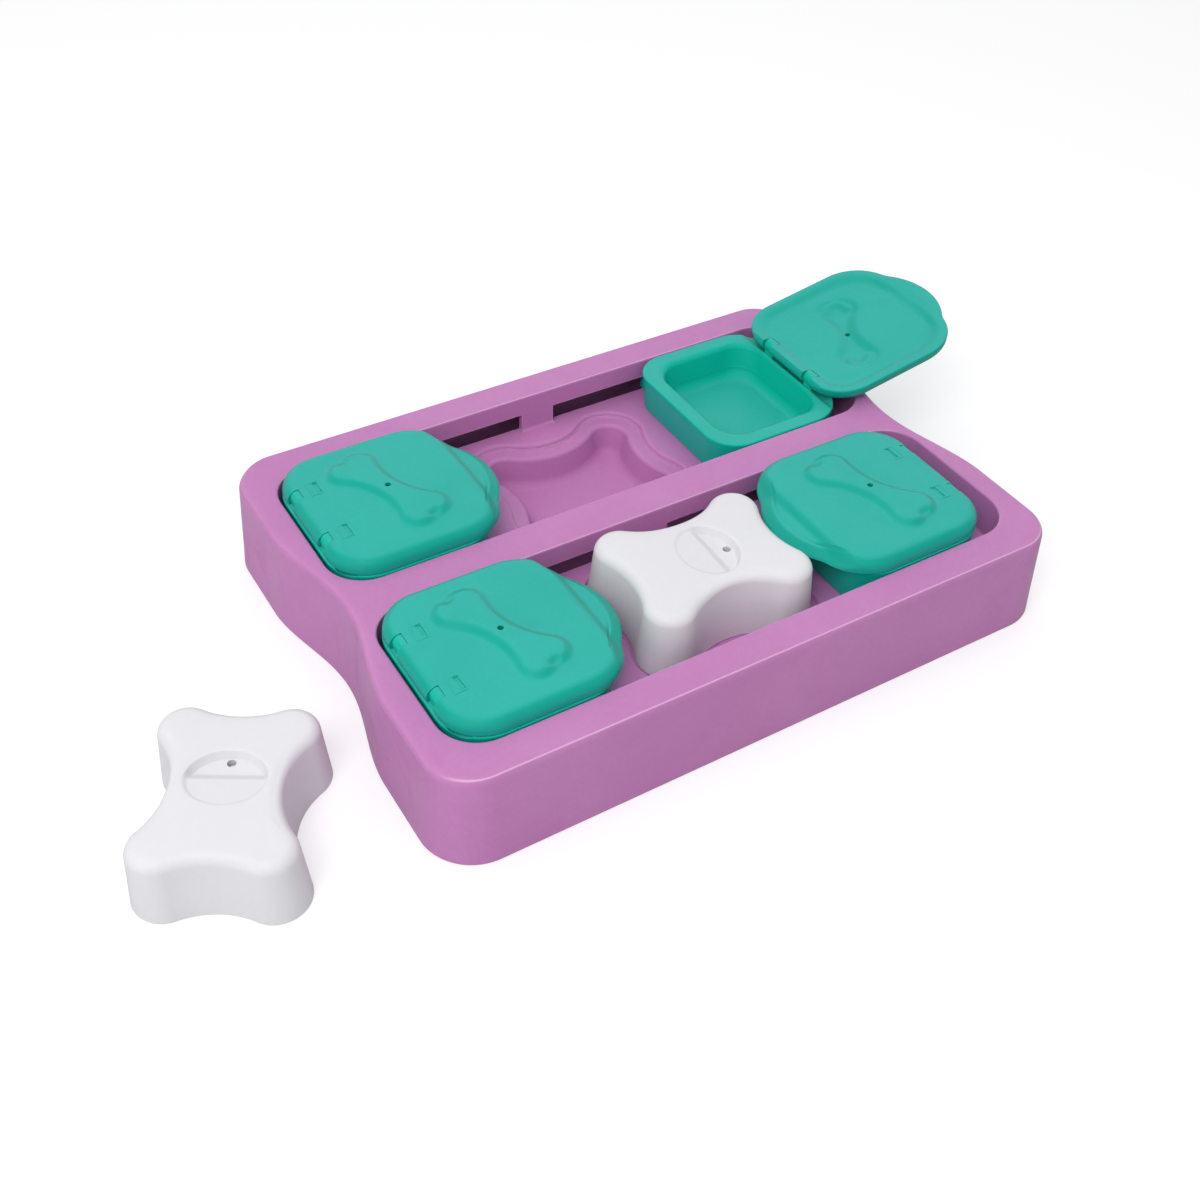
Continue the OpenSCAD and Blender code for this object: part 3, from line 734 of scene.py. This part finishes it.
inner = [ring(s * (oval_on_rays(36, 32) - dish_mid) + dish_mid, 27.0) for s in (0.4, 1)]
inner.append(ring(oval_on_rays(37, 33), roof))
inner += [ring(inset(body_line, d), z) for d, z in ((9, roof), (6.5, 30.6), (5.5, 28.5), (bone_wall, 0))]
outer = [ring(inset(body_line, d), z) for d, z in foot_round(bone_foot, 3)]
edge_z = bone_h - edge_r
bone_lean = bone_draft * edge_z / bone_h
outer += [ring(inset(body_line, bone_lean * t), bone_foot + (edge_z - bone_foot) * t) for t in (0.35, 0.7, 1)]
outer += [ring(inset(body_line, bone_lean + edge_r * (1 - math.cos(t))), edge_z + edge_r * math.sin(t))
          for t in np.radians(np.linspace(9, 86, 11))]
rim_line = outer[-1][:, :2]
mouth = oval_on_rays(36.5, 31)
top = [ring(rim_line + (mouth - rim_line) * t, bone_h + crown_h * (1 - (1 - t) ** 2))
       for t in np.linspace(0.06, 1, 12)]
for t in np.linspace(0.04, 1, 30):
    p = mouth + (dish_mid - mouth) * (t * 0.98)
    fall = smooth_step((t - 0.02) / 0.11)
    top.append(ring(p, bone_h + crown_h + dish_floor(p[:, 0]) * fall))
bone = skin("bone", inner + outer + top)
carve(bone, [upright(dish_mid[0] + vent_x, 0, vent_r, 24, 40)])
print("bone:", len(bone.data.polygons), "faces")

# %% Place the two bone blocks
def laid(x, y, z, turn):
    """The matrix that turns a block by turn degrees about its own upright axis and moves it to x, y, z."""
    return Matrix.Translation((x / 1000, y / 1000, z / 1000)) @ Matrix.Rotation(math.radians(turn), 4, "Z")


bones = []
for body, spot in (("seated_bone", laid(-1.6, 0.4 - channel_y, ledge_z, -2)),
                   ("loose_bone", laid(-238.8, -56.1, 0, 59.3))):
    bones.append(finished(copy_of(bone, f"{body}_moulding", spot), body))
bpy.data.objects.remove(bone)

# %% [markdown]
# ## Finishes
#
# All four plastics are injection moulded, so they share their effects: a fine pebble grain from the tool,
# a slow drift of colour where the melt flowed, edges that read lighter because they are thinner and rub
# bare, and faint handling marks in the gloss. Two more groups are painted light: a painted highlight line
# where the tray's deck rolls over, and painted sheen and shade by tilt, which gives steep faces a colour of
# their own apart from level ones. Each effect is a node group that is built once and puts out a mask or a
# height. Every material then places the groups with its own scale, depth and colours.

# %% A helper for node groups
def new_group(name, inputs, output):
    """An empty shader group with number inputs (name: default) and one number output, and its end nodes."""
    group = bpy.data.node_groups.new(name, "ShaderNodeTree")
    for key, value in inputs.items():
        socket = group.interface.new_socket(key, in_out="INPUT", socket_type="NodeSocketFloat")
        socket.default_value = value
    group.interface.new_socket(output, in_out="OUTPUT", socket_type="NodeSocketFloat")
    return group, group.nodes.new("NodeGroupInput"), group.nodes.new("NodeGroupOutput")


def node(tree, kind, **settings):
    """A node of the kind, with its settings; a key that names an input socket sets that socket."""
    made = tree.nodes.new(kind)
    for key, value in settings.items():
        if key in made.inputs:
            made.inputs[key].default_value = value
        else:
            setattr(made, key, value)
    return made


def maths(tree, operation, a, b):
    """A math node of two values, each a number or a socket."""
    made = tree.nodes.new("ShaderNodeMath")
    made.operation = operation
    for socket, value in zip(made.inputs, (a, b)):
        if isinstance(value, (int, float)):
            socket.default_value = value
        else:
            tree.links.new(value, socket)
    return made.outputs[0]


def ranged(tree, value, low, high, out_low, out_high):
    """A smooth map of value from low..high to out_low..out_high, held at both ends."""
    made = tree.nodes.new("ShaderNodeMapRange")
    made.interpolation_type = "SMOOTHSTEP"
    tree.links.new(value, made.inputs["Value"])
    for key, number in zip(("From Min", "From Max", "To Min", "To Max"), (low, high, out_low, out_high)):
        made.inputs[key].default_value = number
    return made.outputs["Result"]


print("helpers for node groups ready")

# %% Pebble grain from the mould
usual_pebbles = 900.0
grain, gi, go = new_group("moulded_grain", {"Pebbles per metre": usual_pebbles, "Softness": 0.5}, "Height")
where = node(grain, "ShaderNodeTexCoord")
pebbles = node(grain, "ShaderNodeTexVoronoi", feature="SMOOTH_F1")
grain.links.new(where.outputs["Object"], pebbles.inputs["Vector"])
grain.links.new(gi.outputs["Pebbles per metre"], pebbles.inputs["Scale"])
grain.links.new(gi.outputs["Softness"], pebbles.inputs["Smoothness"])
fine = node(grain, "ShaderNodeTexNoise", Detail=3.0)
grain.links.new(where.outputs["Object"], fine.inputs["Vector"])
grain.links.new(maths(grain, "MULTIPLY", gi.outputs["Pebbles per metre"], 2.3), fine.inputs["Scale"])
grain.links.new(maths(grain, "ADD", pebbles.outputs["Distance"],
                      maths(grain, "MULTIPLY", fine.outputs["Fac"], 0.6)), go.inputs["Height"])
print("grain pitch, mm:", round(1000 / usual_pebbles, 2))

# %% Slow drift of colour and faint specks
drift, gi, go = new_group("melt_drift", {"Scale": 14.0, "Specks": 0.5}, "Mask")
where = node(drift, "ShaderNodeTexCoord")
slow = node(drift, "ShaderNodeTexNoise", Detail=4.0, Roughness=0.55, Distortion=0.6)
drift.links.new(where.outputs["Object"], slow.inputs["Vector"])
drift.links.new(gi.outputs["Scale"], slow.inputs["Scale"])
specks = node(drift, "ShaderNodeTexNoise", Scale=420.0, Detail=2.0)
drift.links.new(where.outputs["Object"], specks.inputs["Vector"])
cloud = ranged(drift, slow.outputs["Fac"], 0.32, 0.68, 0.0, 1.0)
spots = ranged(drift, specks.outputs["Fac"], 0.35, 0.75, -0.5, 0.5)
drift.links.new(maths(drift, "ADD", cloud, maths(drift, "MULTIPLY", spots, gi.outputs["Specks"])),
                go.inputs["Mask"])
print("specks per metre:", specks.inputs["Scale"].default_value)

# %% Lighter, rubbed edges
worn, gi, go = new_group("rubbed_edges", {"Radius": 0.0012, "Patchiness": 40.0}, "Mask")
flat = node(worn, "ShaderNodeNewGeometry")
rounder = node(worn, "ShaderNodeBevel", samples=6)
worn.links.new(gi.outputs["Radius"], rounder.inputs["Radius"])
agree = node(worn, "ShaderNodeVectorMath", operation="DOT_PRODUCT")
worn.links.new(flat.outputs["Normal"], agree.inputs[0])
worn.links.new(rounder.outputs["Normal"], agree.inputs[1])
edge_mask = ranged(worn, agree.outputs["Value"], 0.998, 0.93, 0.0, 1.0)
where = node(worn, "ShaderNodeTexCoord")
patches = node(worn, "ShaderNodeTexNoise", Detail=5.0, Roughness=0.6)
worn.links.new(where.outputs["Object"], patches.inputs["Vector"])
worn.links.new(gi.outputs["Patchiness"], patches.inputs["Scale"])
worn.links.new(maths(worn, "MULTIPLY", edge_mask, ranged(worn, patches.outputs["Fac"], 0.3, 0.62, 0.35, 1.0)),
               go.inputs["Mask"])
print("rounding samples:", rounder.samples)

# %% Painted highlight lines along the rounded edges
# Painted highlight: a band of tilt on the rounded edges, fading in between 36 and 50 mm high and strongest on
# edges that face along Y, where a lamp's reflection would run as a pale line.
highlight_lines, gi, go = new_group("painted_edge_highlights", {"Share": 0.5}, "Mask")
tilt = node(highlight_lines, "ShaderNodeSeparateXYZ")
highlight_lines.links.new(node(highlight_lines, "ShaderNodeTexCoord").outputs["Normal"], tilt.inputs[0])
height = node(highlight_lines, "ShaderNodeSeparateXYZ")
highlight_lines.links.new(node(highlight_lines, "ShaderNodeTexCoord").outputs["Object"], height.inputs[0])
band = maths(highlight_lines, "MULTIPLY", ranged(highlight_lines, tilt.outputs["Z"], 0.60, 0.78, 0.0, 1.0),
             ranged(highlight_lines, tilt.outputs["Z"], 0.84, 0.96, 1.0, 0.0))
rise = ranged(highlight_lines, height.outputs["Z"], 0.036, 0.050, 0.0, 1.0)
sideways = ranged(highlight_lines, maths(highlight_lines, "ABSOLUTE", tilt.outputs["Y"], 0.0), 0.22, 0.58, 0.1, 1.0)
lit = maths(highlight_lines, "MULTIPLY", maths(highlight_lines, "MULTIPLY", band, rise), sideways)
highlight_lines.links.new(maths(highlight_lines, "MULTIPLY", lit, gi.outputs["Share"]), go.inputs["Mask"])
print("edge lines' nodes:", len(highlight_lines.nodes))

# %% Painted sheen and shade by the tilt of a face
# Painted sheen and shade: the mask is 1 on level faces, top or underside, and 0 on steep ones. A material can
# then paint its steep faces apart from its level ones: darker on the lids' slopes, where the sheen is
# missing, and lighter on the cups' walls, which want more light.
level, gi, go = new_group("painted_tilt_shade", {"From": 0.80, "To": 0.99}, "Mask")
tilt = node(level, "ShaderNodeSeparateXYZ")
level.links.new(node(level, "ShaderNodeTexCoord").outputs["Normal"], tilt.inputs[0])
tilt_shade = node(level, "ShaderNodeMapRange", interpolation_type="SMOOTHSTEP")
level.links.new(maths(level, "ABSOLUTE", tilt.outputs["Z"], 0.0), tilt_shade.inputs["Value"])
for key, end in (("From", "From Min"), ("To", "From Max")):
    level.links.new(gi.outputs[key], tilt_shade.inputs[end])
level.links.new(tilt_shade.outputs["Result"], go.inputs["Mask"])
print("level bloom's nodes:", len(level.nodes))

# %% Handling marks in the gloss
marks, gi, go = new_group("handling_marks", {"Scale": 30.0}, "Mask")
where = node(marks, "ShaderNodeTexCoord")
smear = node(marks, "ShaderNodeTexNoise", Detail=6.0, Roughness=0.7, Distortion=1.5)
marks.links.new(where.outputs["Object"], smear.inputs["Vector"])
marks.links.new(gi.outputs["Scale"], smear.inputs["Scale"])
hair = node(marks, "ShaderNodeTexVoronoi", feature="DISTANCE_TO_EDGE", Scale=1.0)
stretch = node(marks, "ShaderNodeMapping", Rotation=(0.0, 0.0, 0.7), Scale=(9.0, 95.0, 40.0))
marks.links.new(where.outputs["Object"], stretch.inputs["Vector"])
marks.links.new(stretch.outputs["Vector"], hair.inputs["Vector"])
scratch = ranged(marks, hair.outputs["Distance"], 0.0, 0.012, 1.0, 0.0)
rubbed = ranged(marks, smear.outputs["Fac"], 0.42, 0.7, 0.0, 1.0)
marks.links.new(maths(marks, "ADD", rubbed, maths(marks, "MULTIPLY", scratch, 0.35)), go.inputs["Mask"])
print("groups:", [g.name for g in bpy.data.node_groups])

# %% Build one moulded plastic
colour_a, colour_b, colour_out = 6, 7, 2  # a Mix node's sockets for colours


def moulded(name, deep, pale, edge, rough, pebbles_per_m, depth, highlight_share=0.0, upright=None, gloss=0.5):
    """A satin plastic: drift mixes deep and pale; upright is painted light and shade on steep faces; edge is
    for wear and painted highlight lines.
    """
    mat = bpy.data.materials.new(name)
    mat.use_nodes = True
    tree = mat.node_tree
    surface = tree.nodes["Principled BSDF"]
    surface.inputs["IOR"].default_value = 1.46
    surface.inputs["Specular IOR Level"].default_value = gloss

    def place(group, **values):
        """Puts the group into the material with its own values, and gives its mask or height."""
        made = node(tree, "ShaderNodeGroup", node_tree=group)
        for key, value in values.items():
            made.inputs[key.replace("_", " ")].default_value = value
        return made.outputs[0]

    body = node(tree, "ShaderNodeMix", data_type="RGBA")
    body.inputs[colour_a].default_value, body.inputs[colour_b].default_value = (*deep, 1), (*pale, 1)
    tree.links.new(place(drift), body.inputs[0])
    shaded = body
    # Painted light and shade: steep faces take the upright colour, and level faces keep the body colour.
    if upright is not None:
        shaded = node(tree, "ShaderNodeMix", data_type="RGBA")
        shaded.inputs[colour_a].default_value = (*upright, 1)
        tree.links.new(body.outputs[colour_out], shaded.inputs[colour_b])
        tree.links.new(place(level), shaded.inputs[0])
    # Rubbed edges are wear. The highlight lines mixed in with them are painted highlights, and both take the
    # edge colour.
    rubbed = node(tree, "ShaderNodeMix", data_type="RGBA")
    rubbed.inputs[colour_b].default_value = (*edge, 1)
    tree.links.new(shaded.outputs[colour_out], rubbed.inputs[colour_a])
    wear = maths(tree, "MULTIPLY", place(worn), 0.4)
    tree.links.new(maths(tree, "MAXIMUM", wear, place(highlight_lines, Share=highlight_share)), rubbed.inputs[0])
    tree.links.new(rubbed.outputs[colour_out], surface.inputs["Base Color"])
    dulled = ranged(tree, place(marks), 0.0, 1.2, rough - 0.04, rough + 0.10)
    tree.links.new(dulled, surface.inputs["Roughness"])
    bump = node(tree, "ShaderNodeBump", Strength=1.0, Distance=depth)
    tree.links.new(place(grain, Pebbles_per_metre=pebbles_per_m), bump.inputs["Height"])
    tree.links.new(bump.outputs["Normal"], surface.inputs["Normal"])
    return mat


# The tray's edge colour serves its rubbed edges, which are wear, and its painted highlight lines. The lids'
# upright colour is painted shade on their slopes, where the sheen is missing. The cups' upright colour is
# painted light on their walls.
tray_plastic = moulded("tray_plastic", (0.51, 0.195, 0.455), (0.54, 0.215, 0.48), (0.78, 0.50, 0.73),
                       0.42, 1000, 0.00005, highlight_share=0.8)
lid_plastic = moulded("lid_plastic", (0.020, 0.41, 0.345), (0.025, 0.43, 0.365), (0.045, 0.50, 0.43),
                      0.40, 1300, 0.000025, upright=(0.004, 0.365, 0.285), gloss=0.3)
cup_plastic = moulded("cup_plastic", (0.022, 0.43, 0.355), (0.027, 0.45, 0.375), (0.04, 0.51, 0.42),
                      0.38, 1300, 0.00002, upright=(0.002, 0.47, 0.35), gloss=0.25)
bone_plastic = moulded("bone_plastic", (0.735, 0.73, 0.755), (0.755, 0.75, 0.775), (0.82, 0.82, 0.84),
                       0.40, 1500, 0.00002)
print("materials:", len(bpy.data.materials))

# %% Dress the pieces
for pieces, mat, slot in (([tray], tray_plastic, "tray_purple"), (lids, lid_plastic, "lid_teal"),
                          (cups, cup_plastic, "cup_teal"), (bones, bone_plastic, "bone_white")):
    for piece in pieces:
        piece.data.materials.clear()
        piece.data.materials.append(mat)
        print(piece.name, slot)
